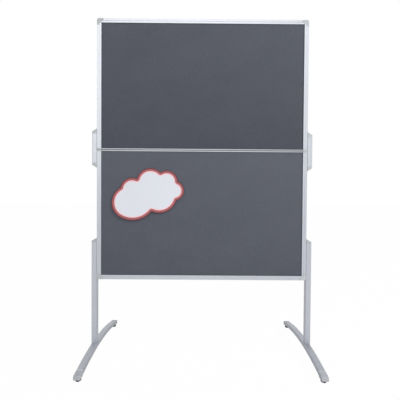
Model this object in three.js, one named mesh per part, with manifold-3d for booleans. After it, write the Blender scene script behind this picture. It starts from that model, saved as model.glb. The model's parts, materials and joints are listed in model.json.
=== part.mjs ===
// Folding moderation board on two side legs with arched feet.
// Millimetres, +Z up. The origin lies on the floor midway between the foot tips, the pinning side faces -Y.

import * as THREE from 'three';
import { mergeVertices } from 'three/addons/utils/BufferGeometryUtils.js';
import Module from 'manifold-3d';

const wasm = await Module();
wasm.setup();

// Overall sizes
const boardWidth = 1210;
const boardHeight = 1494;
const boardClearance = 445.5;
const boardDepth = 28;
const boardSetForward = 59;
const footLength = 600;

// Clearances
const seatGap = 0.3;
const hingeLineGap = 1;
const sleeveRunningGap = 0.5;
const cutOverrun = 5;
const weldTolerance = 0.0001;

// Board build-up: softboard core between two felt sheets
const coreThickness = 15;
const feltThickness = 2.2;

// Frame rail: rounded nose, open side channel, slot that takes the felted board
const railFace = 25;
const railWall = 1.8;
const railLipReach = 12;
const railNoseRadius = 1.5;
const railLipRadius = 1.2;
const railGrooveWidth = 1.6;
const railGrooveDepth = 1;
const channelMouth = 8;
const channelWidth = 20;

// Narrow rail along the hinge line
const hingeRailFace = 8;
const hingeRailWall = 2;
const hingeRailRadius = 4;

// Plastic corner pieces
const cornerArm = 37;
const cornerRadius = 12;
const cornerInnerRadius = 1.5;
const cornerProud = 0.6;
const spigotLength = 18;
const hingeCapRadius = 4;
const hingeCapSpigot = 11;

// Butt hinges on the back of the hinge line
const hingeLength = 96;
const hingeInset = 200;
const hingeLeafThickness = 1.6;
const hingeLeafHeight = 6;
const knuckleRadius = 3;
const knuckleGap = 0.5;
const upperKnuckleShare = 0.34;
const pinRadius = 1.5;
const pinClearance = 0.1;
const pinHeadRadius = 2.4;
const pinHeadHeight = 1.2;

// Lock sleeves that slide over the hinge line at both sides
const sleeveWidth = 28;
const sleeveDepth = 30;
const sleeveWall = 2;
const sleeveLength = 224;
const sleeveCapHeight = 28;
const sleeveCapDrop = 17;
const sleeveOuterRadius = 6;
const sleeveInnerRadius = 1;
const sleeveRiseLeft = 8;
const sleeveRiseRight = -4;
const tongueLength = 45;
const tongueFoot = 6;
const tongueHeadThickness = 4;
const tongueSlack = 0.4;
const capPlugLength = 12;
const capShell = 2;

// Side legs
const legWidth = 30;
const legDepth = 30;
const legWall = 2;
const legOuterRadius = 5;
const legInnerRadius = 1;
const legOverlap = 240;
const legCapHeight = 24;
const legCapDrop = 18;
const legEndPlug = 14;

// Fastening of the legs: slot bar in the side channel, two screws a side
const slotBarLength = 140;
const slotBarThickness = 4;
const slotBarFoot = 60;
const legScrewSpacing = 90;
const screwRadius = 3;
const screwHeadRadius = 5.2;
const screwHeadHeight = 5.5;
const socketRadius = 2.4;
const socketDepth = 3;
const accessRadius = 7;

// Arched feet
const footWidth = 35;
const footShiftInwards = 3.5;
const footHeight = 25;
const footWall = 2.5;
const footCornerRadius = 4;
const footCrown = 75;
const footTipHeight = 33;
const footCapLength = 34;
const footCapPlug = 16;
const footCapNose = 8;
const footCapToe = 3;
const footCapBevel = 2;
const footBoltRadius = 4;
const footBoltHeadRadius = 6.5;
const footBoltHeadHeight = 5;
const footBoltReach = 12;

// Round glides under the foot tips
const glideRadius = 14;
const glideHeight = 12.5;
const glideEdge = 1.2;
const glideStemRadius = 4;
const glideStemLength = 9;
const glideInset = 23;

// Cloud card held by two pins
const cardWidth = 420;
const cardThickness = 1;
const cardFromLeft = 291;
const cardBelowHinge = 255;
const cardTilt = THREE.MathUtils.degToRad(20);
const cardNotchShares = [
  [-0.317, 0.214], [-0.064, 0.252], [0.271, 0.224], [0.452, 0.026],
  [0.35, -0.212], [-0.024, -0.24], [-0.474, -0.143],
];
const cardBulgeShares = [0.24, 0.284, 0.293, 0.37, 0.222, 0.196, 0.268];
const cardPinShares = [[-0.2, 0.2], [0.31, 0.12]];
const tackHeadRadius = 5;
const tackHeadHeight = 5;
const tackNeckRadius = 2.6;
const tackNeedleRadius = 0.6;
const tackNeedleLength = 10;

// Facet counts
const arcFacets = 3;
const roundFacets = 20;
const tackFacets = 10;
const footArcFacets = 2;
const footSteps = 16;
const bevelFacets = 2;
const lobeFacets = 10;

// Worked-out sizes
const halfWidth = boardWidth / 2;
const halfDepth = boardDepth / 2;
const panelHeight = boardHeight / 2;
const hingeLine = boardClearance + panelHeight;
const panelEdge = hingeLineGap / 2;
const stackDepth = coreThickness + 2 * (seatGap + feltThickness);
const slotHalf = stackDepth / 2 + seatGap;
const slotFloor = railFace - railLipReach;
const channelDepth = slotFloor - railWall;
const armFace = slotFloor + seatGap;
const cornerHalfDepth = halfDepth + cornerProud;
const footRise = footCrown - footTipHeight;
const footRadius = ((footLength / 2) ** 2 + footRise ** 2) / (2 * footRise);
const footTubeAngle = Math.asin((footLength / 2 - footCapLength) / footRadius);
const legCentre = halfWidth + seatGap + legWidth / 2;

// Materials
const finish = (color, roughness, metalness) => () =>
  new THREE.MeshStandardMaterial({ color, roughness, metalness });
const anodised = finish(0xd3d7dc, 0.4, 0.85);
const steel = finish(0xb9bcc0, 0.35, 1);
const greyPlastic = finish(0xc4c8c7, 0.55, 0);
const felt = finish(0x585b63, 0.95, 0);
const softboard = finish(0xb59a72, 0.9, 0);
const paper = finish(0xe8eaf0, 0.8, 0);
const whitePlastic = finish(0xf0f0f0, 0.4, 0);
const darkRubber = finish(0x3a3a3e, 0.8, 0);

// Closed outline through corners [x, y, radius], with each radius turned into a tangent arc
function outline(corners) {
  const shape = new THREE.Shape();
  corners.forEach(([x, y, radius = 0], i) => {
    const corner = new THREE.Vector2(x, y);
    const back = new THREE.Vector2(...corners.at(i - 1).slice(0, 2)).sub(corner).normalize();
    const ahead = new THREE.Vector2(...corners[(i + 1) % corners.length].slice(0, 2)).sub(corner).normalize();
    const halfAngle = Math.acos(back.dot(ahead)) / 2;
    const reach = radius / Math.tan(halfAngle);
    const start = corner.clone().addScaledVector(back, reach);
    const end = corner.clone().addScaledVector(ahead, reach);
    if (i === 0) shape.moveTo(start.x, start.y);
    else shape.lineTo(start.x, start.y);
    if (radius > 0) {
      const middle = back.clone().add(ahead).normalize().multiplyScalar(radius / Math.sin(halfAngle)).add(corner);
      const from = start.sub(middle).angle();
      const to = end.sub(middle).angle();
      shape.absarc(middle.x, middle.y, radius, from, to, back.cross(ahead) > 0);
    }
  });
  shape.closePath();
  return shape;
}

// Rectangle from low to high corner with one radius at each of its four corners
function rectangle(lowX, lowY, highX, highY, [r1, r2, r3, r4] = [0, 0, 0, 0]) {
  return outline([[lowX, lowY, r1], [highX, lowY, r2], [highX, highY, r3], [lowX, highY, r4]]);
}

// Straight extrusion along local +Z
function extruded(shape, length) {
  return new THREE.ExtrudeGeometry(shape, { depth: length, bevelEnabled: false, curveSegments: arcFacets });
}

// Box between two opposite corners
function block(low, high) {
  const size = high.map((value, i) => value - low[i]);
  const middle = high.map((value, i) => (value + low[i]) / 2);
  return new THREE.BoxGeometry(...size).translate(...middle);
}

// Solid of revolution about local +Z through points [radius, height]
function turned(points, facets = roundFacets) {
  const profile = points.map(([radius, height]) => new THREE.Vector2(radius, height));
  return new THREE.LatheGeometry(profile, facets).rotateX(Math.PI / 2);
}

// Round bar along local +Z
function bar(radius, low, high) {
  return turned([[0, low], [radius, low], [radius, high], [0, high]]);
}

// A closed mesh becomes a solid for joins and cuts, and comes back as a mesh
function solid(geometry) {
  const bare = geometry.clone();
  bare.deleteAttribute('normal');
  bare.deleteAttribute('uv');
  const welded = mergeVertices(bare, weldTolerance);
  const vertProperties = new Float32Array(welded.attributes.position.array);
  const triVerts = new Uint32Array(welded.index.array);
  return new wasm.Manifold(new wasm.Mesh({ numProp: 3, vertProperties, triVerts }));
}

function surface(body) {
  const { vertProperties, triVerts } = body.getMesh();
  const geometry = new THREE.BufferGeometry();
  geometry.setAttribute('position', new THREE.BufferAttribute(vertProperties, 3));
  geometry.setIndex(new THREE.BufferAttribute(triVerts, 1));
  geometry.computeVertexNormals();
  return geometry;
}

const joined = (first, ...others) => surface(others.reduce((body, other) => body.add(solid(other)), solid(first)));
const cut = (first, ...tools) => surface(tools.reduce((body, tool) => body.subtract(solid(tool)), solid(first)));
const shared = (first, second) => surface(solid(first).intersect(solid(second)));

function piece(name, geometry, material) {
  const mesh = new THREE.Mesh(geometry, material());
  mesh.name = name;
  return mesh;
}

// Frame rail section: x runs from the outer edge inwards, y is the board's depth
function railSection() {
  const grooveEdge = slotFloor + railGrooveWidth;
  const grooveFloor = halfDepth - railGrooveDepth;
  const half = (side) => [
    [0, side * channelMouth / 2],
    [0, side * halfDepth, railNoseRadius],
    [slotFloor, side * halfDepth],
    [slotFloor, side * grooveFloor],
    [grooveEdge, side * grooveFloor],
    [grooveEdge, side * halfDepth],
    [railFace, side * halfDepth, railLipRadius],
    [railFace, side * slotHalf],
    [slotFloor, side * slotHalf],
  ];
  const channel = (side) => [
    [channelDepth, side * channelWidth / 2],
    [railWall, side * channelWidth / 2],
    [railWall, side * channelMouth / 2],
  ];
  return outline([...half(-1), ...half(1).reverse(), ...channel(1).reverse(), ...channel(-1)]);
}

// A rail that leaves its lips long and its nose short where a corner piece sits
function frameRail(length, cornerAtStart) {
  const notch = cornerArm - railFace;
  const low = [-cutOverrun, -boardDepth];
  const high = [armFace, boardDepth];
  const notches = [block([...low, length - notch], [...high, length + cutOverrun])];
  if (cornerAtStart) notches.push(block([...low, -cutOverrun], [...high, notch]));
  return cut(extruded(railSection(), length), ...notches);
}

function hingeRailSection() {
  const lip = halfDepth - slotHalf;
  return outline([
    [0, -halfDepth, hingeRailRadius],
    [hingeRailFace - panelEdge, -halfDepth, lip / 4],
    [hingeRailFace - panelEdge, -slotHalf, lip / 4],
    [hingeRailWall, -slotHalf],
    [hingeRailWall, slotHalf],
    [hingeRailFace - panelEdge, slotHalf, lip / 4],
    [hingeRailFace - panelEdge, halfDepth, lip / 4],
    [0, halfDepth, hingeRailRadius],
  ].reverse());
}

// Plug that fills the side channel of a rail from low to high
function channelSpigot(low, high) {
  const half = channelWidth / 2 - seatGap;
  return block([railWall + seatGap, -half, low], [channelDepth - seatGap, half, high]);
}

// Corner piece in the x-z plane with its outer corner at the origin, arms along +x and -z
function cornerPiece() {
  const arms = outline([
    [0, 0, cornerRadius],
    [0, -cornerArm],
    [slotFloor, -cornerArm],
    [slotFloor, -railFace],
    [railFace, -railFace, cornerInnerRadius],
    [railFace, -slotFloor],
    [cornerArm, -slotFloor],
    [cornerArm, 0],
  ]);
  const body = extruded(arms, 2 * cornerHalfDepth).rotateX(Math.PI / 2).translate(0, cornerHalfDepth, 0);
  const boardCorner = block([slotFloor, -slotHalf, -boardWidth], [boardWidth, slotHalf, -slotFloor]);
  const upright = channelSpigot(-cornerArm - spigotLength, -cornerArm + cutOverrun);
  const across = channelSpigot(-cornerArm - spigotLength, -cornerArm + cutOverrun);
  across.rotateZ(Math.PI).rotateY(-Math.PI / 2);
  return joined(cut(body, boardCorner), upright, across);
}

// End piece of a side rail at the hinge line: outer edge at x 0, hinge edge at z 0
function hingeEndPiece() {
  const height = hingeRailFace - panelEdge;
  const plate = outline([[0, 0, hingeCapRadius], [railFace, 0], [railFace, height], [0, height]]);
  const body = extruded(plate, 2 * cornerHalfDepth).rotateX(Math.PI / 2).translate(0, cornerHalfDepth, 0);
  const boardCorner = block([slotFloor, -slotHalf, hingeRailWall], [boardWidth, slotHalf, boardWidth]);
  return joined(cut(body, boardCorner), channelSpigot(height - hingeRailWall, height + hingeCapSpigot));
}

// One felted panel in its frame: hinge line at z 0, outer edge at +z.
// minusSide and plusSide name the sides that lie at -x and +x.
function panel(prefix, minusSide, plusSide, edgeName, tackHoles) {
  const group = new THREE.Group();
  const sideStart = hingeRailFace + seatGap;
  const sideLength = panelHeight - railFace - seatGap - sideStart;
  const acrossLength = boardWidth - 2 * (railFace + seatGap);
  const boardHalf = halfWidth - slotFloor - seatGap;
  const boardLow = panelEdge + hingeRailWall + seatGap;
  const boardHigh = panelHeight - slotFloor - seatGap;

  const sheet = (low, high) => {
    const whole = block([-boardHalf, low, boardLow], [boardHalf, high, boardHigh]);
    return tackHoles.length > 0 ? cut(whole, ...tackHoles) : whole;
  };
  const coreHalf = coreThickness / 2;
  const feltLow = coreHalf + seatGap;
  const feltHigh = feltLow + feltThickness;
  group.add(piece(`${prefix}_core`, sheet(-coreHalf, coreHalf), softboard));
  group.add(piece(`${prefix}_felt_front`, sheet(-feltHigh, -feltLow), felt));
  group.add(piece(`${prefix}_felt_back`, block([-boardHalf, feltLow, boardLow], [boardHalf, feltHigh, boardHigh]), felt));

  [[minusSide, -1], [plusSide, 1]].forEach(([name, side]) => {
    const turn = side < 0 ? 0 : Math.PI;
    const rail = piece(`${prefix}_rail_${name}`, frameRail(sideLength, false), anodised);
    rail.position.set(side * halfWidth, 0, sideStart);
    const corner = piece(`${prefix}_corner_${name}`, cornerPiece(), greyPlastic);
    corner.position.set(side * halfWidth, 0, panelHeight);
    const end = piece(`${prefix}_hinge_end_${name}`, hingeEndPiece(), greyPlastic);
    end.position.set(side * halfWidth, 0, panelEdge);
    [rail, corner, end].forEach((part) => {
      part.rotation.z = turn;
      group.add(part);
    });
  });

  const outerRail = piece(`${prefix}_rail_${edgeName}`, frameRail(acrossLength, true), anodised);
  outerRail.rotation.y = Math.PI / 2;
  outerRail.position.set(-acrossLength / 2, 0, panelHeight);
  const hingeRail = piece(`${prefix}_hinge_rail`, extruded(hingeRailSection(), acrossLength), anodised);
  hingeRail.rotation.y = -Math.PI / 2;
  hingeRail.position.set(acrossLength / 2, 0, panelEdge);
  group.add(outerRail, hingeRail);
  return group;
}

// Hinge leaf with its knuckles, from x -hingeLength/2: axis along x through the origin, leaf towards +z
function hingeLeaf(knuckles) {
  const face = -knuckleRadius;
  const half = hingeLength / 2;
  const plateStart = knuckleRadius + knuckleGap;
  const plate = block([-half, face, plateStart], [half, face + hingeLeafThickness, plateStart + hingeLeafHeight]);
  const parts = knuckles.flatMap(([low, high]) => [
    bar(knuckleRadius, low, high).rotateY(Math.PI / 2),
    block([low, face, 0], [high, face + hingeLeafThickness, plateStart + weldTolerance]),
  ]);
  const bore = bar(pinRadius + pinClearance, -hingeLength, hingeLength).rotateY(Math.PI / 2);
  return cut(joined(plate, ...parts), bore);
}

function hingePin() {
  const end = hingeLength / 2 + seatGap;
  return turned([
    [0, -end - pinHeadHeight], [pinHeadRadius, -end - pinHeadHeight], [pinHeadRadius, -end],
    [pinRadius, -end], [pinRadius, end], [pinHeadRadius, end],
    [pinHeadRadius, end + pinHeadHeight], [0, end + pinHeadHeight],
  ]).rotateY(Math.PI / 2);
}

function hinges() {
  const group = new THREE.Group();
  const middle = hingeLength * upperKnuckleShare / 2;
  const end = hingeLength / 2;
  [['left', -1], ['right', 1]].forEach(([name, side]) => {
    const hinge = new THREE.Group();
    const upper = piece(`hinge_leaf_upper_${name}`, hingeLeaf([[-middle, middle]]), steel);
    const outer = middle + knuckleGap;
    const lower = piece(`hinge_leaf_lower_${name}`, hingeLeaf([[-end, -outer], [outer, end]]), steel);
    lower.rotation.y = Math.PI;
    hinge.add(upper, lower, piece(`hinge_pin_${name}`, hingePin(), steel));
    hinge.position.set(side * (halfWidth - hingeInset), halfDepth + seatGap + knuckleRadius, 0);
    group.add(hinge);
  });
  return group;
}

// Outline beside the board: x runs outwards from the board, y is depth
function besideBoard(inset, width, depth, innerRadius, outerRadius) {
  const half = depth / 2 - inset;
  return rectangle(inset, -half, width - inset, half, [innerRadius, outerRadius, outerRadius, innerRadius]);
}

// Hollow profile with that outline, from low to high
function tube(width, depth, wall, innerRadius, outerRadius, low, high) {
  const outer = extruded(besideBoard(0, width, depth, innerRadius, outerRadius), high - low);
  const bore = extruded(besideBoard(wall, width, depth, 0, outerRadius - wall), high - low + 2 * cutOverrun);
  return cut(outer.translate(0, 0, low), bore.translate(0, 0, low - cutOverrun));
}

// Moulded end cap with a sloping top, hollow from below, and a plug that enters the tube
function slopingCap(width, depth, wall, innerRadius, outerRadius, height, drop) {
  const half = depth / 2;
  const body = extruded(besideBoard(0, width, depth, innerRadius, outerRadius), height);
  const side = outline([[0, 0], [width, 0], [width, height - drop], [0, height]]);
  const slope = extruded(side, depth).rotateX(Math.PI / 2).translate(0, half, 0);
  const plugInset = wall + seatGap;
  const plug = extruded(
    besideBoard(plugInset, width, depth, 0, outerRadius - plugInset),
    capPlugLength + capShell,
  );
  const hollowInset = plugInset + capShell;
  const hollow = block(
    [hollowInset, hollowInset - half, -capPlugLength - cutOverrun],
    [width - hollowInset, half - hollowInset, height - drop - capShell],
  );
  return cut(joined(shared(body, slope), plug.translate(0, 0, -capPlugLength)), hollow);
}

// Lock sleeve: aluminium tube that bridges the hinge line, guided by a tongue in the side channel
function lockSleeve(name, side, rise) {
  const group = new THREE.Group();
  const tubeLength = sleeveLength - 2 * sleeveCapHeight;
  const tubeLow = -tubeLength / 2;
  const sleeve = tube(
    sleeveWidth, sleeveDepth, sleeveWall, sleeveInnerRadius, sleeveOuterRadius, tubeLow, -tubeLow,
  );
  const neckHalf = channelMouth / 2 - tongueSlack;
  const headHalf = channelWidth / 2 - tongueSlack;
  const headStart = -sleeveRunningGap - railWall - tongueSlack;
  const tongueLow = tubeLow + tongueFoot;
  const tongueHigh = tongueLow + tongueLength;
  const neck = block([headStart, -neckHalf, tongueLow], [sleeveWall / 2, neckHalf, tongueHigh]);
  const head = block(
    [headStart - tongueHeadThickness, -headHalf, tongueLow],
    [headStart, headHalf, tongueHigh],
  );
  group.add(piece(`lock_sleeve_${name}`, joined(sleeve, neck, head), anodised));

  [['top', 1], ['bottom', -1]].forEach(([end, up]) => {
    const geometry = slopingCap(
      sleeveWidth, sleeveDepth, sleeveWall, sleeveInnerRadius, sleeveOuterRadius,
      sleeveCapHeight - seatGap, sleeveCapDrop,
    );
    const cap = piece(`lock_cap_${end}_${name}`, geometry, greyPlastic);
    cap.rotation.x = up > 0 ? 0 : Math.PI;
    cap.position.z = up * (tubeLength / 2 + seatGap);
    group.add(cap);
  });
  group.rotation.z = side > 0 ? 0 : Math.PI;
  group.position.set(side * (halfWidth + sleeveRunningGap), -boardSetForward, hingeLine + rise);
  return group;
}

// Centre line of a foot tube: an arc in the y-z plane, highest at y 0
class FootArc extends THREE.Curve {
  getPoint(t, target = new THREE.Vector3()) {
    const angle = footTubeAngle * (2 * t - 1);
    const radius = footRadius - footHeight / 2;
    return target.set(0, radius * Math.sin(angle), footCrown - footRadius + radius * Math.cos(angle));
  }
}

function alongFoot(section) {
  return new THREE.ExtrudeGeometry(section, {
    steps: footSteps, extrudePath: new FootArc(), curveSegments: footArcFacets,
  });
}

// Height of the foot's upper surface at a place along it
const footTopAt = (y) => footCrown - footRadius + Math.sqrt(footRadius ** 2 - y ** 2);

// Leg: hollow profile beside the board, coped to the arched foot, with a welded end plug and screw holes.
// Local x runs outwards from the board, y 0 is the board's middle plane.
function legTube(side) {
  const low = footTopAt(boardSetForward + legDepth / 2) - footHeight / 2;
  const high = boardClearance + legOverlap - legCapHeight;
  const profile = tube(legWidth, legDepth, legWall, legInnerRadius, legOuterRadius, low, high);
  const plugTop = footTopAt(boardSetForward) + legEndPlug;
  const inner = legDepth / 2 - legWall / 2;
  const plug = block([legWall / 2, -inner, low], [legWidth - legWall / 2, inner, plugTop]);
  const roundedPlug = shared(plug, extruded(
    besideBoard(0, legWidth, legDepth, legInnerRadius, legOuterRadius), plugTop,
  ));

  const cope = alongFoot(rectangle(-legWidth, -footHeight, legWidth, footHeight / 2 + seatGap));
  cope.translate(legWidth / 2, side * boardSetForward, 0);
  const boltHole = bar(footBoltRadius + seatGap, low - cutOverrun, footTopAt(boardSetForward) + footBoltReach);
  boltHole.translate(legWidth / 2, 0, 0);
  const screwHoles = legScrewHeights().flatMap((z) => [
    bar(screwRadius + seatGap, -cutOverrun, legWidth / 2).rotateY(Math.PI / 2).translate(0, 0, z),
    bar(accessRadius, legWidth / 2, legWidth + cutOverrun).rotateY(Math.PI / 2).translate(0, 0, z),
  ]);
  return cut(joined(profile, roundedPlug), cope, boltHole, ...screwHoles);
}

function legScrewHeights() {
  const first = boardClearance + slotBarFoot + (slotBarLength - legScrewSpacing) / 2;
  return [first, first + legScrewSpacing];
}

// Socket-head screw along +Z: head top at z 0, tip at +z
function socketScrew(length) {
  return cut(
    turned([
      [0, 0], [screwHeadRadius, 0], [screwHeadRadius, screwHeadHeight],
      [screwRadius, screwHeadHeight], [screwRadius, length], [0, length],
    ]),
    turned([[0, -cutOverrun], [socketRadius, -cutOverrun], [socketRadius, socketDepth], [0, socketDepth]], 6),
  );
}

function leg(name, side) {
  const group = new THREE.Group();
  group.add(piece(`leg_${name}`, legTube(side), anodised));
  const capGeometry = slopingCap(
    legWidth, legDepth, legWall, legInnerRadius, legOuterRadius, legCapHeight - seatGap, legCapDrop,
  );
  const cap = piece(`leg_cap_${name}`, capGeometry, greyPlastic);
  cap.position.z = boardClearance + legOverlap - legCapHeight + seatGap;
  group.add(cap);

  const barStart = -seatGap - railWall - seatGap;
  const barHalf = channelWidth / 2 - seatGap;
  const barLow = boardClearance + slotBarFoot;
  const holes = legScrewHeights().map((z) =>
    bar(screwRadius + seatGap, -legWidth, legWidth).rotateY(Math.PI / 2).translate(0, 0, z));
  const slotBar = cut(
    block([barStart - slotBarThickness, -barHalf, barLow], [barStart, barHalf, barLow + slotBarLength]),
    ...holes,
  );
  group.add(piece(`slot_bar_${name}`, slotBar, steel));

  const headSeat = legWall + seatGap;
  const screwLength = screwHeadHeight + headSeat - barStart + slotBarThickness;
  legScrewHeights().forEach((z, i) => {
    const screw = piece(`leg_screw_${i === 0 ? 'low' : 'high'}_${name}`, socketScrew(screwLength), steel);
    screw.rotation.y = -Math.PI / 2;
    screw.position.set(headSeat + screwHeadHeight, 0, z);
    group.add(screw);
  });
  group.rotation.z = side > 0 ? 0 : Math.PI;
  group.position.set(side * (halfWidth + seatGap), -boardSetForward, 0);
  return group;
}

function footOutline(inset) {
  const halfX = footWidth / 2 - inset;
  const halfZ = footHeight / 2 - inset;
  const radius = footCornerRadius - inset;
  return rectangle(-halfX, -halfZ, halfX, halfZ, [radius, radius, radius, radius]);
}

// Foot: bent hollow tube, open at both ends, bored for the bolt that holds the leg.
// It is wider than the leg and flush with its outer face, so the bolt sits off its middle.
function footTube(boltX) {
  const section = footOutline(0);
  section.holes.push(footOutline(footWall));
  const boltHole = bar(footBoltRadius + seatGap, 0, footCrown + cutOverrun).translate(boltX, -boardSetForward, 0);
  return cut(alongFoot(section), boltHole);
}

// Foot end cap: carries on the arc, rounds over at the tip and is flat below for the glide; tip towards +y
function footCap() {
  const angle = footTubeAngle + seatGap / footRadius;
  const arcCentre = footCrown - footRadius;
  const ring = (radius) => [radius * Math.sin(angle), arcCentre + radius * Math.cos(angle)];
  const top = ring(footRadius);
  const bottom = ring(footRadius - footHeight);
  const tip = footLength / 2;
  const flat = glideHeight + seatGap;
  const side = outline([
    top, bottom,
    [tip - footCapLength, flat, footCapToe],
    [tip, flat, footCapToe],
    [tip, top[1] - Math.tan(angle) * (tip - top[0]), footCapNose],
  ]);
  const width = footWidth - 2 * footCapBevel;
  const body = new THREE.ExtrudeGeometry(side, {
    depth: width,
    bevelThickness: footCapBevel,
    bevelSize: footCapBevel,
    bevelOffset: -footCapBevel,
    bevelSegments: bevelFacets,
    curveSegments: arcFacets,
  });
  body.translate(0, 0, -width / 2);
  body.applyMatrix4(new THREE.Matrix4().makeBasis(
    new THREE.Vector3(0, 1, 0), new THREE.Vector3(0, 0, 1), new THREE.Vector3(1, 0, 0),
  ));
  const plug = extruded(footOutline(footWall + seatGap), footCapPlug + cutOverrun);
  plug.rotateX(Math.PI / 2).translate(0, cutOverrun, 0);
  plug.rotateX(-angle).translate(0, (top[0] + bottom[0]) / 2, (top[1] + bottom[1]) / 2);
  const stemHole = bar(glideStemRadius + seatGap, 0, glideHeight + glideStemLength + seatGap);
  stemHole.translate(0, tip - glideInset, 0);
  return cut(joined(body, plug), stemHole);
}

function glide() {
  const top = glideHeight;
  return turned([
    [0, 0], [glideRadius - glideEdge, 0], [glideRadius, glideEdge], [glideRadius, top - glideEdge],
    [glideRadius - glideEdge, top], [glideStemRadius, top],
    [glideStemRadius, top + glideStemLength], [0, top + glideStemLength],
  ]);
}

function foot(name, side) {
  const group = new THREE.Group();
  const boltX = side * footShiftInwards;
  group.add(piece(`foot_${name}`, footTube(boltX), anodised));
  [['front', -1], ['rear', 1]].forEach(([end, back]) => {
    const cap = piece(`foot_cap_${end}_${name}`, footCap(), greyPlastic);
    cap.rotation.z = back > 0 ? 0 : Math.PI;
    const pad = piece(`glide_${end}_${name}`, glide(), darkRubber);
    pad.position.y = back * (footLength / 2 - glideInset);
    group.add(cap, pad);
  });

  const slope = boardSetForward / footRadius;
  const headTop = footTopAt(boardSetForward) - footHeight / Math.cos(slope) - seatGap
    - footBoltHeadRadius * Math.tan(slope);
  const headLow = headTop - footBoltHeadHeight;
  const tip = footTopAt(boardSetForward) + footBoltReach - seatGap;
  const bolt = turned([
    [0, headLow], [footBoltHeadRadius, headLow], [footBoltHeadRadius, headTop],
    [footBoltRadius, headTop], [footBoltRadius, tip], [0, tip],
  ]);
  const boltPiece = piece(`foot_bolt_${name}`, bolt, steel);
  boltPiece.position.set(boltX, -boardSetForward, 0);
  group.add(boltPiece);
  group.position.x = side * (legCentre - footShiftInwards);
  return group;
}

// Cloud card: arcs bulge outwards between its notches.
// The left lobe is wider than it is deep, so two arcs share it and meet smoothly at the last point.
function cloudOutline() {
  const notches = cardNotchShares.map(([x, y]) => new THREE.Vector2(x, y).multiplyScalar(cardWidth));
  const points = notches.flatMap((start, i) => {
    const end = notches[(i + 1) % notches.length];
    const chord = end.clone().sub(start);
    const halfTurn = 2 * Math.atan(2 * cardBulgeShares[i]);
    const radius = chord.length() / (2 * Math.sin(halfTurn));
    const outward = new THREE.Vector2(-chord.y, chord.x).normalize();
    const middle = start.clone().add(end).divideScalar(2).addScaledVector(outward, -radius * Math.cos(halfTurn));
    const first = outward.angle() + halfTurn;
    return Array.from({ length: lobeFacets }, (_, k) => {
      const angle = first - 2 * halfTurn * k / lobeFacets;
      return new THREE.Vector2(Math.cos(angle), Math.sin(angle)).multiplyScalar(radius).add(middle);
    });
  });
  return new THREE.Shape(points.reverse());
}

const cardFace = stackDepth / 2 + seatGap;
const tackSeat = -cardFace - cardThickness - seatGap;

// The card's place in the lower panel's own frame, which hangs upside down from the hinge line
function cardPlace() {
  const place = new THREE.Object3D();
  place.position.set(halfWidth - cardFromLeft, 0, cardBelowHinge);
  place.rotation.y = Math.PI - cardTilt;
  place.updateMatrix();
  return place;
}

const tackSpots = cardPinShares.map(([x, z]) =>
  new THREE.Vector3(x * cardWidth, 0, z * cardWidth).applyMatrix4(cardPlace().matrix));

function tackHole({ x, z }) {
  const hole = bar(tackNeedleRadius + seatGap, -boardDepth, tackSeat + tackNeedleLength + seatGap);
  return hole.rotateX(-Math.PI / 2).translate(x, 0, z);
}

// Pin with a waisted head, needle towards +y
function tack() {
  return turned([
    [0, -tackHeadHeight], [tackHeadRadius, -tackHeadHeight], [tackHeadRadius, -tackNeckRadius],
    [tackNeckRadius, -tackNeedleRadius], [tackNeckRadius, 0], [tackNeedleRadius, 0],
    [tackNeedleRadius, tackNeedleLength], [0, tackNeedleLength],
  ], tackFacets).rotateX(-Math.PI / 2);
}

function card() {
  const group = new THREE.Group();
  const blank = extruded(cloudOutline(), cardThickness).rotateX(Math.PI / 2).translate(0, -cardFace, 0);
  const holes = cardPinShares.map(([x, z]) =>
    bar(tackNeedleRadius + seatGap, -boardDepth, boardDepth).rotateX(Math.PI / 2).translate(x * cardWidth, 0, z * cardWidth));
  const sheet = piece('cloud_card', cut(blank, ...holes), paper);
  const place = cardPlace();
  sheet.position.copy(place.position);
  sheet.rotation.copy(place.rotation);
  group.add(sheet);
  tackSpots.forEach((spot, i) => {
    const pin = piece(`card_pin_${i === 0 ? 'left' : 'right'}`, tack(), whitePlastic);
    pin.position.set(spot.x, tackSeat, spot.z);
    group.add(pin);
  });
  return group;
}

// Assembly
const board = new THREE.Group();
board.position.set(0, -boardSetForward, hingeLine);
const upperPanel = panel('upper', 'left', 'right', 'top', []);
const lowerPanel = panel('lower', 'right', 'left', 'bottom', tackSpots.map(tackHole));
lowerPanel.rotation.y = Math.PI;
lowerPanel.add(card());
board.add(upperPanel, lowerPanel, hinges());

const moderationBoard = new THREE.Group();
moderationBoard.add(board);
moderationBoard.add(lockSleeve('left', -1, sleeveRiseLeft), lockSleeve('right', 1, sleeveRiseRight));
[['left', -1], ['right', 1]].forEach(([name, side]) => moderationBoard.add(leg(name, side), foot(name, side)));

export default moderationBoard;
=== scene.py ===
import json
import math

import bmesh
import bpy
from mathutils import Matrix, Vector, geometry, noise

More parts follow.
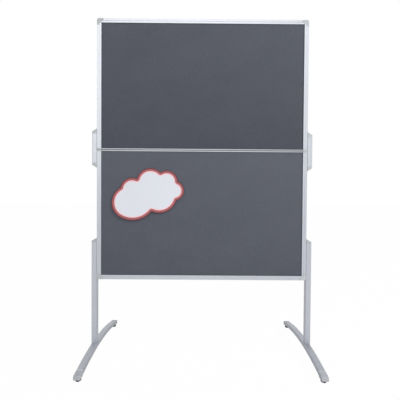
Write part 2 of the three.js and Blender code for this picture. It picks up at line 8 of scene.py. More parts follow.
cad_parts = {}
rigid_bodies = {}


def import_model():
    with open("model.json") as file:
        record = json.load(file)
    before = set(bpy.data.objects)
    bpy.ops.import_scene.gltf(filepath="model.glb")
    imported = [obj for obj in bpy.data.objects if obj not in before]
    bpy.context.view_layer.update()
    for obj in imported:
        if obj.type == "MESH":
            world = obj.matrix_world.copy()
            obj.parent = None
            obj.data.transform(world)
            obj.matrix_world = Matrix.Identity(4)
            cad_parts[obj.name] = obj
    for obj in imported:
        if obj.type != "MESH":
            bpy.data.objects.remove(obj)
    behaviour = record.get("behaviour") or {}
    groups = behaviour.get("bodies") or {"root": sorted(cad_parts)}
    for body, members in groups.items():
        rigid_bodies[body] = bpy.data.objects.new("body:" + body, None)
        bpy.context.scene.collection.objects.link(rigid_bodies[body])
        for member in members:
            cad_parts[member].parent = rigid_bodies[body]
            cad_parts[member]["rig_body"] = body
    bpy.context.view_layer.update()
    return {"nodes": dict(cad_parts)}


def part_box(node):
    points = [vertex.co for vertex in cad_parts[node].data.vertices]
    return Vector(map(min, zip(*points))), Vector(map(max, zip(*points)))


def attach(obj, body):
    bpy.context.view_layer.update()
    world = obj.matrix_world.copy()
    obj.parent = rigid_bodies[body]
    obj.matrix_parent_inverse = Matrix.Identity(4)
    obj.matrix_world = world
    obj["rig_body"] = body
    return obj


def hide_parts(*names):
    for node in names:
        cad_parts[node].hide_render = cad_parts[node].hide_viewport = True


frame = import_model()


# Softboard cores
# A sheet of pressed wood fibre in each panel, about 15 mm thick, held in the slots of the frame.
# The felt hides it, and it shows only in the pin holes and where a hinge gap lets light in.

class Wire:
    """A shader socket whose arithmetic adds Math nodes."""

    def __init__(self, paint, socket):
        self.paint = paint
        self.socket = socket

    def math(self, operation, first, second):
        return self.paint.node("Math", {"operation": operation}, {0: first, 1: second})

    def __add__(self, other):
        return self.math("ADD", self, other)

    def __sub__(self, other):
        return self.math("SUBTRACT", self, other)

    def __rsub__(self, other):
        return self.math("SUBTRACT", other, self)

    def __mul__(self, other):
        return self.math("MULTIPLY", self, other)

    __radd__ = __add__
    __rmul__ = __mul__


class Paint:
    """One material: fixed settings on its shader, and the nodes that vary it over the surface."""

    def __init__(self, name, settings):
        self.material = bpy.data.materials.new(name)
        self.material.use_nodes = True
        self.tree = self.material.node_tree
        self.shader = self.tree.nodes["Principled BSDF"]
        self.place = self.node("TexCoord", output="Object")
        self.set(settings)

    def feed(self, socket, value):
        """Links a wire to a socket, or gives the socket a plain value."""
        if isinstance(value, Wire):
            self.tree.links.new(value.socket, socket)
        else:
            socket.default_value = value

    def set(self, settings):
        for socket, value in settings.items():
            self.feed(self.shader.inputs[socket], value)

    def node(self, kind, settings=None, sockets=None, output=0):
        """Adds a node: its settings first, then the values or links of its sockets."""
        node = self.tree.nodes.new("ShaderNode" + kind)
        for name, value in (settings or {}).items():
            setattr(node, name, value)
        for key, value in (sockets or {}).items():
            self.feed(node.inputs[key], value)
        return Wire(self, node.outputs[output])

    def grain(self, size, detail=2.0, turn=(0, 0, 0), distortion=0.0):
        """Noise whose features measure size along the object's axes, in metres, after a turn."""
        at = self.node("Mapping", {"vector_type": "TEXTURE"},
                       {"Vector": self.place, "Rotation": turn, "Scale": size})
        return self.node("TexNoise", None, {
            "Vector": at, "Scale": 1.0, "Detail": detail, "Distortion": distortion})

    def spread(self, value, low, high, to_low=0.0, to_high=1.0):
        """The part of a value between low and high, opened out to a new range."""
        return self.node("MapRange", {"clamp": True}, {
            "Value": value, "From Min": low, "From Max": high, "To Min": to_low, "To Max": to_high})

    def tint(self, share, low, high):
        """A colour between two others."""
        first, second = (rgb if isinstance(rgb, Wire) else (*rgb, 1.0) for rgb in (low, high))
        return self.node("Mix", {"data_type": "RGBA"}, {0: share, 6: first, 7: second}, output=2)

    def bump(self, height, distance, strength=1.0):
        return self.node("Bump", None, {
            "Height": height, "Distance": distance, "Strength": strength})


def softboard_fibre():
    board = Paint("softboard_fibre", {"Roughness": 0.9})
    fibre = board.grain((0.004, 0.0006, 0.004), detail=4.0)
    board.set({
        "Base Color": board.tint(fibre, (0.36, 0.25, 0.14), (0.56, 0.42, 0.26)),
        "Normal": board.bump(fibre, 0.0004),
    })
    return board.material


def dress(node, material):
    """Gives a CAD node its finish."""
    mesh = frame["nodes"][node].data
    mesh.materials.clear()
    mesh.materials.append(material)


core_finish = softboard_fibre()
for panel in ("upper", "lower"):
    dress(f"{panel}_core", core_finish)


# Felt
# Needled polyester felt, 2.2 mm thick, glued to both faces of each core and tucked into the frame.
# Slate grey with lighter and darker fibres, matt, with the faint unevenness of the board under it.

felt_grid = 0.008
felt_held_edge = 0.03
felt_unevenness = 0.00012
unevenness_per_metre = 9
felt_pile = 0.00008
pile_per_metre = 90
pile_noise_offset = 5
fibre_directions = (12, 57, 98, 149)
gentle_bend = math.radians(35)


def slate_felt(panel, shade_at_bottom, shade_at_top):
    """Felt with painted shade: each sheet turns a little darker towards its lower edge."""
    felt = Paint(f"slate_felt_{panel}", {
        "Roughness": 0.95, "Sheen Weight": 0.12, "Sheen Roughness": 0.5,
        "Sheen Tint": (0.75, 0.78, 0.86, 1.0)})
    web = None
    for degrees in fibre_directions:
        fibres = felt.grain((0.009, 0.004, 0.0007), detail=1.0,
                            turn=(0, math.radians(degrees), 0), distortion=0.6)
        web = fibres if web is None else web.math("MAXIMUM", web, fibres)
    threads = felt.spread(web, 0.55, 0.78)
    pile = felt.grain((0.0011, 0.0011, 0.0011), detail=3.0)
    patches = felt.grain((0.16, 0.16, 0.11), detail=2.0)
    low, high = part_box(f"{panel}_felt_front")
    up = felt.node("SeparateXYZ", None, {0: felt.place}, output="Z")
    # Painted shade: the colour darkens from the top of each sheet down to its lower edge.
    painted_shade = felt.spread(up, low.z, high.z, shade_at_bottom, shade_at_top)
    share = threads * 0.55 + pile * 0.35 + patches * 0.18 + painted_shade
    felt.set({
        "Base Color": felt.tint(share, (0.053, 0.058, 0.075), (0.146, 0.156, 0.188)),
        "Normal": felt.bump(threads * 0.6 + pile, 0.0005, 0.7),
    })
    return felt.material


def felt_sheet(node, finish):
    """The felt of one panel face: a fine closed sheet in the place of its CAD node."""
    low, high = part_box(node)
    outward = -1 if node.endswith("front") else 1
    face, back = (low.y, high.y) if outward < 0 else (high.y, low.y)
    columns = round((high.x - low.x) / felt_grid)
    rows = round((high.z - low.z) / felt_grid)
    mesh = bmesh.new()
    bmesh.ops.create_grid(mesh, x_segments=columns, y_segments=rows, size=0.5)
    middle = (low + high) / 2
    for vertex in mesh.verts:
        x = middle.x + vertex.co.x * (high.x - low.x)
        z = middle.z + vertex.co.y * (high.z - low.z)
        inset = min(x - low.x, high.x - x, z - low.z, high.z - z)
        free = min(1.0, inset / felt_held_edge)
        wave = (x * unevenness_per_metre, face, z * unevenness_per_metre)
        tuft = (x * pile_per_metre, face + pile_noise_offset, z * pile_per_metre)
        swell = noise.noise(wave) * felt_unevenness + noise.noise(tuft) * felt_pile
        vertex.co = (x, face - outward * (felt_unevenness + felt_pile - swell * free), z)
    rim = [edge for edge in mesh.edges if edge.is_boundary]
    sides = bmesh.ops.extrude_edge_only(mesh, edges=rim)["geom"]
    for vertex in (part for part in sides if isinstance(part, bmesh.types.BMVert)):
        vertex.co.y = back
    back_rim = [edge for edge in mesh.edges if edge.is_boundary]
    bmesh.ops.contextual_create(mesh, geom=back_rim)
    bmesh.ops.recalc_face_normals(mesh, faces=mesh.faces)
    return made(node.replace("felt", "felt_sheet"), mesh, finish)


def smoothed(mesh):
    """Shades a mesh smooth wherever its faces meet gently."""
    mesh.polygons.foreach_set("use_smooth", [True] * len(mesh.polygons))
    mesh.set_sharp_from_angle(angle=gentle_bend)


def made(name, shape, finish):
    """Turns a bmesh into an object with its finish."""
    mesh = bpy.data.meshes.new(name)
    shape.to_mesh(mesh)
    shape.free()
    mesh.materials.append(finish)
    smoothed(mesh)
    piece = bpy.data.objects.new(name, mesh)
    bpy.context.scene.collection.objects.link(piece)
    return piece


# Painted shade for each panel's felt: how far its colour shifts at the bottom and at the top.
for panel, body, painted_shade_tones in (
    ("upper", "upper_panel", (-0.24, 0.0)),
    ("lower", "stand", (-0.05, 0.17)),
):
    felt_finish = slate_felt(panel, *painted_shade_tones)
    for face in ("front", "back"):
        node = f"{panel}_felt_{face}"
        low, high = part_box(node)
        piece = felt_sheet(node, felt_finish)
        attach(piece, body)
        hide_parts(node)


# Frame rails
# Extruded aluminium, silver anodised, with a rounded outer nose, a shadow groove and a slim lip
# that holds the felted board. The die leaves fine lines along each rail.

rail_edge = 0.0002
die_line_width = 0.0005
die_line_length = 0.5
silver_dark = (0.50, 0.522, 0.575)
silver_bright = (0.625, 0.647, 0.70)
weld_distance = 0.000001
flat_within = math.radians(0.5)
sharp_above = math.radians(40)


def anodised(name, along, light=1.0, sides=1.0):
    """Anodised metal drawn along X, Y or Z (0, 1 or 2). Light scales its colour, which paints shade
    onto a copy below 1, and sides paints shade onto the faces that turn sideways.
    """
    metal = Paint(name, {"Metallic": 0.9, "Specular IOR Level": 0.5})
    dark, bright = ([channel * light for channel in rgb] for rgb in (silver_dark, silver_bright))
    line_size = [die_line_width] * 3
    line_size[along] = die_line_length
    lines = metal.grain(line_size, detail=2.0)
    cloud = metal.grain((0.05, 0.05, 0.05), detail=3.0)
    handled = metal.spread(metal.grain((0.018, 0.018, 0.03), detail=4.0), 0.55, 0.8)
    colour = metal.tint(lines * 0.6 + cloud * 0.4, dark, bright)
    # Painted shade: faces turned towards X take the colour times sides.
    if sides < 1.0:
        facing = metal.node("TexCoord", output="Normal")
        across = metal.node("SeparateXYZ", None, {0: facing}, output="X")
        painted_side_shade = metal.spread(across * across, 0.3, 0.8)
        colour = metal.node("Mix", {"data_type": "RGBA", "blend_type": "MULTIPLY"}, {
            0: painted_side_shade, 6: colour, 7: (sides, sides, sides, 1.0)}, output=2)
    metal.set({
        "Base Color": colour,
        "Roughness": lines * 0.14 + handled * 0.06 + 0.34,
        "Normal": metal.bump(lines, 0.00004, 0.5),
    })
    return metal.material


def trued(node, soften):
    """A node's own shape with its triangles merged and its sharp edges softened."""
    shape = bmesh.new()
    shape.from_mesh(frame["nodes"][node].data)
    bmesh.ops.remove_doubles(shape, verts=shape.verts, dist=weld_distance)
    bmesh.ops.dissolve_limit(shape, angle_limit=flat_within, verts=shape.verts, edges=shape.edges)
    if soften > 0:
        sharp = [edge for edge in shape.edges
                 if edge.is_manifold and edge.calc_face_angle() > sharp_above]
        bmesh.ops.bevel(shape, geom=sharp, offset=soften, segments=2, profile=0.5,
                        affect="EDGES", clamp_overlap=True)
    return shape


def finished(node, finish, soften=0.0):
    """Stands a trued piece in the place of a CAD node, on the node's own body."""
    piece = made(f"{node}_made", trued(node, soften), finish)
    flat_faces = piece.modifiers.new("flat_faces", "WEIGHTED_NORMAL")
    flat_faces.weight = 100
    flat_faces.keep_sharp = True
    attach(piece, frame["nodes"][node]["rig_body"])
    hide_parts(node)


aluminium_upright = anodised("anodised_aluminium_upright", along=2)
# Painted shade: the top rail's copy of the metal is 0.93 as bright as the bottom rail's.
for node, light in (("upper_rail_top", 0.93), ("lower_rail_bottom", 1.0)):
    aluminium_across = anodised(f"anodised_aluminium_{node}", along=0, light=light)
    finished(node, aluminium_across, rail_edge)
for panel in ("upper", "lower"):
    for side in ("left", "right"):
        finished(f"{panel}_rail_{side}", aluminium_upright, rail_edge)


# Corner pieces
# Light grey moulded plastic, pushed into the channels of the rails where they meet.
# A fine eroded texture takes the shine off, and the outer edges are well rounded.

corner_edge = 0.0009


def moulded(name, dark, light):
    plastic = Paint(name, {"Specular IOR Level": 0.4})
    texture = plastic.grain((0.0005, 0.0005, 0.0005), detail=2.0)
    cloud = plastic.grain((0.02, 0.02, 0.02), detail=2.0)
    plastic.set({
        "Base Color": plastic.tint(texture * 0.4 + cloud * 0.6, dark, light),
        "Roughness": texture * 0.1 + cloud * 0.08 + 0.42,
        "Normal": plastic.bump(texture, 0.00006, 0.6),
    })
    return plastic.material


grey_plastic = moulded("moulded_grey_plastic", (0.47, 0.49, 0.50), (0.57, 0.59, 0.60))
for panel in ("upper", "lower"):
    for side in ("left", "right"):
        finished(f"{panel}_corner_{side}", grey_plastic, corner_edge)


# Hinge line
# A narrow aluminium rail edges each panel where they meet, closed at both ends by a grey plastic
# piece. Two steel butt hinges sit on the back, each leaf held by four blind rivets.

hinge_end_edge = 0.0005
hinge_leaf_edge = 0.0002
hinge_leaf_thickness = 0.0016
hinge_pin_edge = 0.0003
rivet_profile = ((0.0, 0.0006), (0.0007, 0.0006), (0.0009, 0.0011), (0.0014, 0.0010),
                 (0.0019, 0.0006), (0.0021, 0.0))
rivet_facets = 12
rivet_weld_distance = 0.00001
rivets_on_leaf = 4
rivet_end_inset = 0.012
rivet_edge_inset = 0.003


def plated_steel():
    steel = Paint("plated_steel", {"Metallic": 1.0})
    brushing = steel.grain((0.03, 0.0004, 0.0004), detail=3.0)
    bloom = steel.grain((0.006, 0.006, 0.006), detail=4.0)
    steel.set({
        "Base Color": steel.tint(bloom, (0.56, 0.56, 0.55), (0.74, 0.74, 0.75)),
        "Roughness": brushing * 0.16 + bloom * 0.1 + 0.22,
        "Normal": steel.bump(brushing, 0.00003, 0.5),
    })
    return steel.material


steel_finish = plated_steel()
# Painted shade: the hinge rails take the same metal at 0.74 of its brightness, dark as if shaded.
aluminium_painted_shade = anodised("anodised_aluminium_hinge_painted_shade", along=0, light=0.74)
for panel in ("upper", "lower"):
    finished(f"{panel}_hinge_rail", aluminium_painted_shade, rail_edge)
    for side in ("left", "right"):
        finished(f"{panel}_hinge_end_{side}", grey_plastic, hinge_end_edge)
        finished(f"hinge_leaf_{panel}_{side}", steel_finish, hinge_leaf_edge)
for side in ("left", "right"):
    finished(f"hinge_pin_{side}", steel_finish, hinge_pin_edge)


def rivet_head():
    """A domed head with the dimple its mandrel leaves, on the leaf's back face towards +Y."""
    shape = bmesh.new()
    ring = [shape.verts.new((radius, height, 0)) for radius, height in rivet_profile]
    edges = [shape.edges.new(pair) for pair in zip(ring, ring[1:])]
    bmesh.ops.spin(shape, geom=[*ring, *edges], cent=(0, 0, 0), axis=(0, 1, 0), angle=math.tau,
                   steps=rivet_facets)
    bmesh.ops.remove_doubles(shape, verts=shape.verts, dist=rivet_weld_distance)
    bmesh.ops.contextual_create(shape, geom=[edge for edge in shape.edges if edge.is_boundary])
    bmesh.ops.recalc_face_normals(shape, faces=shape.faces)
    return made("rivet_head", shape, steel_finish)


class Tree:
    """A Geometry Nodes tree with named inputs, built in order from its first node to its last."""

    def __init__(self, name, inputs):
        self.group = bpy.data.node_groups.new(name, "GeometryNodeTree")
        self.names = {}
        sockets = self.group.interface
        for label, kind, value in inputs:
            socket = sockets.new_socket(label, in_out="INPUT", socket_type="NodeSocket" + kind)
            self.names[label] = (socket.identifier, value)
        sockets.new_socket("Geometry", in_out="OUTPUT", socket_type="NodeSocketGeometry")
        self.input = self.group.nodes.new("NodeGroupInput")

    def given(self, label):
        return self.input.outputs[label]

    def node(self, kind, settings=None, sockets=None, output=0):
        node = self.group.nodes.new(kind)
        for name, value in (settings or {}).items():
            setattr(node, name, value)
        for key, value in (sockets or {}).items():
            if isinstance(value, bpy.types.NodeSocket):
                self.group.links.new(value, node.inputs[key])
            else:
                node.inputs[key].default_value = value
        return node.outputs[output]

    def close(self, geometry, finish):
        """Ends the tree: real geometry in its finish goes to the output."""
        whole = self.node("GeometryNodeRealizeInstances", None, {"Geometry": geometry})
        painted = self.node("GeometryNodeSetMaterial", None, {
            "Geometry": whole, "Material": finish})
        out = self.group.nodes.new("NodeGroupOutput")
        self.group.links.new(painted, out.inputs[0])

    def run(self, name, **values):
        """Makes a plain object of what the tree gives for these values."""
        carrier = bpy.data.objects.new(name + "_carrier", bpy.data.meshes.new(name))
        bpy.context.scene.collection.objects.link(carrier)
        modifier = carrier.modifiers.new("tree", "NODES")
        modifier.node_group = self.group
        for label, (identifier, value) in self.names.items():
            modifier[identifier] = values.get(label.replace(" ", "_").lower(), value)
        graph = bpy.context.evaluated_depsgraph_get()
        mesh = bpy.data.meshes.new_from_object(carrier.evaluated_get(graph), depsgraph=graph)
        bpy.data.objects.remove(carrier)
        mesh.name = name
        piece = bpy.data.objects.new(name, mesh)
        bpy.context.scene.collection.objects.link(piece)
        return piece


def rivet_row():
    """Rivet heads in a row along X, each turned by chance about its own axis."""
    tree = Tree("rivet_row", [
        ("Start", "Vector", (0.0, 0.0, 0.0)), ("Spacing", "Float", 0.02),
        ("Count", "Int", rivets_on_leaf), ("Head", "Object", None), ("Seed", "Int", 3),
    ])
    step = tree.node("ShaderNodeCombineXYZ", None, {"X": tree.given("Spacing")})
    line = tree.node("GeometryNodeMeshLine", {"mode": "OFFSET"}, {
        "Count": tree.given("Count"), "Start Location": tree.given("Start"), "Offset": step})
    head = tree.node("GeometryNodeObjectInfo", None, {
        "Object": tree.given("Head")}, output="Geometry")
    chance = tree.node("FunctionNodeRandomValue", {"data_type": "FLOAT"}, {
        "Max": math.tau, "Seed": tree.given("Seed")}, output="Value")
    turn = tree.node("ShaderNodeCombineXYZ", None, {"Y": chance})
    heads = tree.node("GeometryNodeInstanceOnPoints", None, {
        "Points": line, "Instance": head, "Rotation": turn})
    tree.close(heads, steel_finish)
    return tree


head = rivet_head()
rivets = rivet_row()
for panel, body in (("upper", "upper_panel"), ("lower", "stand")):
    for side, seed in (("left", 3), ("right", 8)):
        low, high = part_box(f"hinge_leaf_{panel}_{side}")
        height = high.z - rivet_edge_inset if panel == "upper" else low.z + rivet_edge_inset
        start = (low.x + rivet_end_inset, low.y + hinge_leaf_thickness, height)
        spacing = (high.x - low.x - 2 * rivet_end_inset) / (rivets_on_leaf - 1)
        row = rivets.run(f"rivets_{panel}_{side}", start=start, spacing=spacing, head=head,
                         seed=seed)
        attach(row, body)
bpy.data.objects.remove(head)


# Lock sleeves
# Short aluminium tubes that slide over the hinge line at both sides and hold the panels straight.
# Sloping plastic caps close them above and below.

sleeve_edge = 0.0003
sleeve_cap_edge = 0.0008
for side in ("left", "right"):
    finished(f"lock_sleeve_{side}", aluminium_upright, sleeve_edge)
    for end in ("top", "bottom"):
        finished(f"lock_cap_{end}_{side}", grey_plastic, sleeve_cap_edge)


# Legs
# Hollow aluminium profiles screwed to the lower side rails, coped to the bend of the feet.
# Each is closed by a sloping cap, and its screws sit in access holes in the outer wall.

leg_cap_edge = 0.0008
# Painted shade: the legs' copy of the metal is a little darker, and darker still on its side faces.
aluminium_leg = anodised("anodised_aluminium_leg", along=2, light=0.95, sides=0.84)
silver_plastic = moulded("moulded_silver_plastic", (0.446, 0.461, 0.494), (0.494, 0.509, 0.542))
for side in ("left", "right"):
    finished(f"leg_{side}", aluminium_leg)
    finished(f"leg_cap_{side}", silver_plastic, leg_cap_edge)
    for node in (f"slot_bar_{side}", f"leg_screw_low_{side}", f"leg_screw_high_{side}"):
        dress(node, steel_finish)


# Feet
# Rectangular aluminium tubes rolled to a shallow arch, with a moulded end at each tip and a bolt
# from below into the leg. Round dark glides under the tips keep them off the floor.

foot_crown = 0.075
foot_tip_height = 0.033
foot_half_length = 0.3
foot_height = 0.025
foot_wall = 0.0025
foot_corner = 0.004
foot_arch_facets = 64
foot_corner_facets = 6
foot_cap_edge = 0.0006
# Painted shade: the feet's copy of the metal is 0.77 as bright, and darker still on its side faces.
aluminium_along = anodised("anodised_aluminium_along", along=1, light=0.77, sides=0.87)


def foot_bow():
    """A rounded rectangular tube swept along an arch in the plane of Y and Z."""
    tree = Tree("foot_bow", [
        ("Place", "Vector", (0.0, 0.0, 0.0)), ("Radius", "Float", 1.0),
        ("Half Angle", "Float", 0.3), ("Width", "Float", 0.035),
        ("Height", "Float", foot_height), ("Corner", "Float", foot_corner),
    ])
    half = tree.given("Half Angle")
    start = tree.node("ShaderNodeMath", {"operation": "MULTIPLY"}, {0: half, 1: -1.0})
    sweep = tree.node("ShaderNodeMath", {"operation": "MULTIPLY"}, {0: half, 1: 2.0})
    arc = tree.node("GeometryNodeCurveArc", {"mode": "RADIUS"}, {
        "Resolution": foot_arch_facets, "Radius": tree.given("Radius"),
        "Start Angle": start, "Sweep Angle": sweep})
    section = tree.node("GeometryNodeCurvePrimitiveQuadrilateral", {"mode": "RECTANGLE"}, {
        "Width": tree.given("Height"), "Height": tree.given("Width")})
    rounded = tree.node("GeometryNodeFilletCurve", {"mode": "POLY"}, {
        "Curve": section, "Count": foot_corner_facets, "Radius": tree.given("Corner"),
        "Limit Radius": True})
    tube = tree.node("GeometryNodeCurveToMesh", None, {"Curve": arc, "Profile Curve": rounded})
    upright = tree.node("GeometryNodeTransform", None, {
        "Geometry": tube, "Rotation": (0.0, math.radians(-90), 0.0),
        "Translation": tree.given("Place")})
    tree.close(upright, aluminium_along)
    return tree


bow = foot_bow()
rise = foot_crown - foot_tip_height
bow_radius = (foot_half_length ** 2 + rise ** 2) / (2 * rise)
for side in ("left", "right"):
    node = f"foot_{side}"
    low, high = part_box(node)
    foot = bow.run(f"{node}_made", place=((low.x + high.x) / 2, 0.0, foot_crown - bow_radius),
                   radius=bow_radius - foot_height / 2, half_angle=math.asin(high.y / bow_radius),
                   width=high.x - low.x, height=foot_height)
    wall = foot.modifiers.new("wall", "SOLIDIFY")
    wall.thickness = foot_wall
    wall.offset = -1
    smoothed(foot.data)
    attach(foot, "stand")
    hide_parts(node)
    for end in ("front", "rear"):
        finished(f"foot_cap_{end}_{side}", silver_plastic, foot_cap_edge)
    dress(f"foot_bolt_{side}", steel_finish)


# Glides
# Turned discs of dark rubbery plastic on a stem pressed into each foot cap.

def dark_rubber():
    rubber = Paint("dark_glide_rubber", {"Specular IOR Level": 0.35})
    scuffs = rubber.spread(rubber.grain((0.003, 0.003, 0.001), detail=5.0), 0.5, 0.75)
    rubber.set({
        "Base Color": rubber.tint(scuffs, (0.018, 0.018, 0.021), (0.050, 0.049, 0.050)),
        "Roughness": scuffs * 0.2 + 0.62,
        "Normal": rubber.bump(scuffs, 0.0001, 0.5),
    })
    return rubber.material


glide_rubber = dark_rubber()
for side in ("left", "right"):
    for end in ("front", "rear"):
        finished(f"glide_{end}_{side}", glide_rubber)


# Cloud card
# A die-cut card of stiff white paper with a printed red rim, pinned to the lower panel.
# Its lobes bulge between the notches of the outline, and its free edges lift a little.

card_width = 0.42
card_centre = Vector((-0.314, 0.9375))
card_tilt = math.radians(20)
card_rim = 0.0165
# Painted shadow: how far in from the card's edge the dark red band stays full.
card_painted_shadow_band = 0.0025
card_print_raggedness = 0.0006
card_lift = 0.009
card_lift_reach = 0.45
card_lift_curve = 1.5
card_facets = 36
card_notches = ((-0.317, 0.214), (-0.064, 0.252), (0.271, 0.224), (0.452, 0.026),
                (0.35, -0.212), (-0.024, -0.24), (-0.474, -0.143))
card_bulges = (0.24, 0.284, 0.293, 0.37, 0.222, 0.196, 0.268)
card_pins = ((-0.2, 0.2), (0.31, 0.12))
card_point_spacing = 0.006
card_row_spacing = 0.866
card_lattice_reach = 0.6
card_point_tolerance = 0.00001


def cloud_lobes():
    """Centre, radius, first angle and turn of each lobe. A bulge is a lobe's height to width."""
    lobes = []
    for i, share in enumerate(card_bulges):
        start = Vector(card_notches[i]) * card_width
        end = Vector(card_notches[(i + 1) % len(card_notches)]) * card_width
        chord = end - start
        half_turn = 2 * math.atan(2 * share)
        radius = chord.length / (2 * math.sin(half_turn))
        outward = Vector((-chord.y, chord.x)).normalized()
        middle = (start + end) / 2 - outward * radius * math.cos(half_turn)
        first = math.atan2(outward.y, outward.x) + half_turn
        lobes.append((middle, radius, first, 2 * half_turn))
    return lobes


def cloud_points():
    """The card's outline, lobe after lobe."""
    points = []
    for middle, radius, first, turn in cloud_lobes():
        for k in range(card_facets):
            angle = first - turn * k / card_facets
            points.append(middle + Vector((math.cos(angle), math.sin(angle))) * radius)
    return points


def distance_to(point, outline):
    """How far a point lies from the nearest side of a closed outline."""
    best = 1.0
    for i, start in enumerate(outline):
        end = outline[(i + 1) % len(outline)]
        share = geometry.intersect_point_line(point, start, end)[1]
        nearest = start.lerp(end, min(1.0, max(0.0, share)))
        best = min(best, (point - nearest).length)
    return best


def card_sheet(outline):
    """Points and triangles that fill the outline evenly, so that the card can bend."""
    reach = math.ceil(card_lattice_reach * card_width / card_point_spacing)
    lattice = []
    for row in range(-reach, reach + 1):
        for column in range(-reach, reach + 1):
            place = Vector((column + 0.5 * (row % 2), row * card_row_spacing))
            lattice.append(place * card_point_spacing)
    around = list(range(len(outline)))
    sides = [(i, (i + 1) % len(outline)) for i in around]
    filled = geometry.delaunay_2d_cdt(outline + lattice, sides, [around], 1, card_point_tolerance)
    return [Vector(point) for point in filled[0]], filled[2]


def card_blank(finish):
    """The card's front and back, joined round the edge. Each point keeps its way to the edge."""
    outline = cloud_points()
    points, faces = card_sheet(outline)
    from_edge = [distance_to(point, outline) for point in points]
    pinned_line = [Vector(place) * card_width for place in card_pins]
    from_pins = [distance_to(point, pinned_line) for point in points]
    cosine, sine = math.cos(card_tilt), math.sin(card_tilt)
    low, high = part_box("cloud_card")
    shape = bmesh.new()
    edge_layer = shape.verts.layers.float.new("from_edge")
    layers = []
    for y in (low.y, high.y):
        layer = []
        for point, to_edge, to_pins in zip(points, from_edge, from_pins):
            lift = card_lift * (to_pins / (card_lift_reach * card_width)) ** card_lift_curve
            vertex = shape.verts.new((
                card_centre.x + point.x * cosine - point.y * sine,
                y - lift,
                card_centre.y + point.x * sine + point.y * cosine))
            vertex[edge_layer] = to_edge
            layer.append(vertex)
        layers.append(layer)
    front, back = layers
    for face in faces:
        shape.faces.new([front[i] for i in face])
        shape.faces.new([back[i] for i in reversed(face)])
    behind = dict(zip(front, back))
    for edge in [edge for edge in shape.edges if edge.is_boundary]:
        first, second = edge.verts
        if first in behind and second in behind:
            shape.faces.new((first, second, behind[second], behind[first]))
    loose = [vertex for vertex in shape.verts if not vertex.link_faces]
    bmesh.ops.delete(shape, geom=loose, context="VERTS")
    bmesh.ops.recalc_face_normals(shape, faces=shape.faces)
    return made("cloud_card_blank", shape, finish)


def printed_card():
    paper = Paint("printed_card", {"Roughness": 0.72, "Specular IOR Level": 0.3})
    edge = paper.node("Attribute", {"attribute_name": "from_edge"}, output="Fac")
    fibre = paper.grain((0.0012, 0.0012, 0.0012), detail=4.0)
    ragged = edge + (fibre - 0.5) * card_print_raggedness
    white = paper.tint(fibre, (0.76, 0.78, 0.84), (0.82, 0.84, 0.89))
    red = paper.tint(fibre, (0.41, 0.11, 0.118), (0.49, 0.15, 0.16))
    pink = (0.95, 0.68, 0.72)
    # Painted shadow: a dark red band round the card's outer edge.
    painted_edge_shadow = (0.14, 0.04, 0.045)
    # Each layer: an ink, and last a painted shadow round the outer edge, with the way in from the
    # card's edge up to which it is full, and where it is gone
    print_and_shadow_layers = (
        (pink, card_rim + 0.004, card_rim + 0.009),
        (red, card_rim - 0.002, card_rim + 0.001),
        (painted_edge_shadow, card_painted_shadow_band, card_painted_shadow_band + 0.0035),
    )
    colour = white
    for layer_colour, full, gone in print_and_shadow_layers:
        colour = paper.tint(1 - paper.spread(ragged, full, gone), colour, layer_colour)
    paper.set({
        "Base Color": colour,
        "Normal": paper.bump(fibre, 0.00004, 0.4),
    })
    return paper.material


card = card_blank(printed_card())
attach(card, "stand")
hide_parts("cloud_card")


# Card pins
# Two short push pins with waisted white heads, pressed through the card into the softboard.

def glossy_white():
    plastic = Paint("glossy_white_pin", {"Roughness": 0.2, "Coat Weight": 0.3})
    haze = plastic.grain((0.004, 0.004, 0.004), detail=2.0)
    plastic.set({"Base Color": plastic.tint(haze, (0.82, 0.82, 0.83), (0.88, 0.88, 0.88))})
    return plastic.material


pin_white = glossy_white()
for side in ("left", "right"):
    finished(f"card_pin_{side}", pin_white)


# Studio
# A white floor and surroundings, a small lamp high on the right, a broad low one that fills the
# shade, and a high panel that only gleams in metal. The camera stands where the photograph's did.

def white_to_sight(tree, shader, white_kind, to_camera, to_metal_and_glass):
    """Adds the white that camera, mirror and clear rays see to a shader of the surroundings."""
    path = tree.nodes.new("ShaderNodeLightPath")
    seen = None
    for ray, share in (
        ("Is Camera Ray", to_camera),
        ("Is Glossy Ray", to_metal_and_glass),
        ("Is Transmission Ray", to_metal_and_glass),
    ):
        step = tree.nodes.new("ShaderNodeMath")
        step.operation = "MULTIPLY_ADD"
        step.use_clamp = True
        tree.links.new(path.outputs[ray], step.inputs[0])
        step.inputs[1].default_value = share
        step.inputs[2].default_value = 0.0
        if seen is not None:
            tree.links.new(seen, step.inputs[2])
        seen = step.outputs[0]
    white = tree.nodes.new(white_kind)
    white.inputs["Color"].default_value = (1, 1, 1, 1)
    white.inputs["Strength"].default_value = 1.0
    mix = tree.nodes.new("ShaderNodeMixShader")
    tree.links.new(seen, mix.inputs[0])
    tree.links.new(shader, mix.inputs[1])
    tree.links.new(white.outputs[0], mix.inputs[2])
    return mix.outputs[0]


world = bpy.data.worlds.new("studio")
bpy.context.scene.world = world
world.use_nodes = True
world_tree = world.node_tree
ambient = world_tree.nodes["Background"]
ambient.inputs["Color"].default_value = (0.97, 0.98, 1.0, 1)
ambient.inputs["Strength"].default_value = 0.5
white_world = white_to_sight(world_tree, ambient.outputs[0], "ShaderNodeBackground",
                             to_camera=1.0, to_metal_and_glass=1.0)
world_tree.links.new(white_world, world_tree.nodes["World Output"].inputs["Surface"])

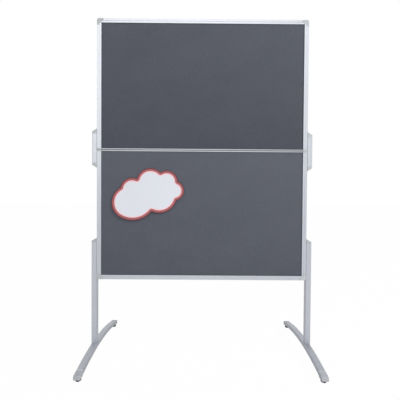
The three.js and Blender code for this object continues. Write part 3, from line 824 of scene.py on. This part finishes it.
floor_reach = 30.0
floor_corners = [(x * floor_reach, y * floor_reach, 0)
                 for x, y in ((-1, -1), (1, -1), (1, 1), (-1, 1))]
floor_mesh = bpy.data.meshes.new("studio_floor")
floor_mesh.from_pydata(floor_corners, [], [(0, 1, 2, 3)])
floor = bpy.data.objects.new("studio_floor", floor_mesh)
bpy.context.scene.collection.objects.link(floor)
floor_finish = bpy.data.materials.new("studio_floor")
floor_finish.use_nodes = True
floor_tree = floor_finish.node_tree
floor_shader = floor_tree.nodes["Principled BSDF"]
floor_shader.inputs["Base Color"].default_value = (0.9, 0.9, 0.9, 1)
floor_shader.inputs["Roughness"].default_value = 0.9
floor_shader.inputs["Specular IOR Level"].default_value = 0.0
white_floor = white_to_sight(floor_tree, floor_shader.outputs[0], "ShaderNodeEmission",
                             to_camera=0.98, to_metal_and_glass=0.66)
floor_tree.links.new(white_floor, floor_tree.nodes["Material Output"].inputs["Surface"])
floor_mesh.materials.append(floor_finish)

lamps_aim = Vector((0, 0, 1.0))
for name, place, size, power, seen_in_metal in (
    ("key_right", (4.0, -2.4, 3.4), 0.65, 132.0, False),
    ("fill_low", (0.1, -2.7, 0.4), 2.2, 20.0, False),
    ("panel_high", (-0.15, -2.8, 2.82), 3.4, 39.0, True),
):
    lamp = bpy.data.lights.new(name, "AREA")
    lamp.size = size
    lamp.energy = power
    lamp.color = (1.0, 0.98, 0.93) if seen_in_metal else (1.0, 1.0, 1.0)
    lamp_stand = bpy.data.objects.new(name, lamp)
    lamp_stand.location = place
    beam = lamps_aim - Vector(place)
    lamp_stand.rotation_euler = beam.to_track_quat("-Z", "Y").to_euler()
    lamp_stand.visible_glossy = seen_in_metal
    lamp_stand.visible_diffuse = not seen_in_metal
    bpy.context.scene.collection.objects.link(lamp_stand)

image_width = 400
focal_pixels = 264.4
camera_place = (-0.0162, -1.5947, 0.9288)
yaw, pitch, roll = (math.radians(angle) for angle in (0.184, 0.815, 0.407))
ahead = Vector((math.sin(yaw) * math.cos(pitch), math.cos(yaw) * math.cos(pitch),
                -math.sin(pitch)))
level = Vector((math.cos(yaw), -math.sin(yaw), 0))
upward = level.cross(ahead)
right = level * math.cos(roll) + upward * math.sin(roll)
up = upward * math.cos(roll) - level * math.sin(roll)
lens = bpy.data.cameras.new("camera")
lens.sensor_width = 36.0
lens.lens = focal_pixels / image_width * lens.sensor_width
camera = bpy.data.objects.new("camera", lens)
bpy.context.scene.collection.objects.link(camera)
turned = Matrix((right, up, -ahead)).transposed().to_4x4()
camera.matrix_world = Matrix.Translation(camera_place) @ turned
bpy.context.scene.camera = camera
bpy.context.scene.view_settings.view_transform = "Standard"
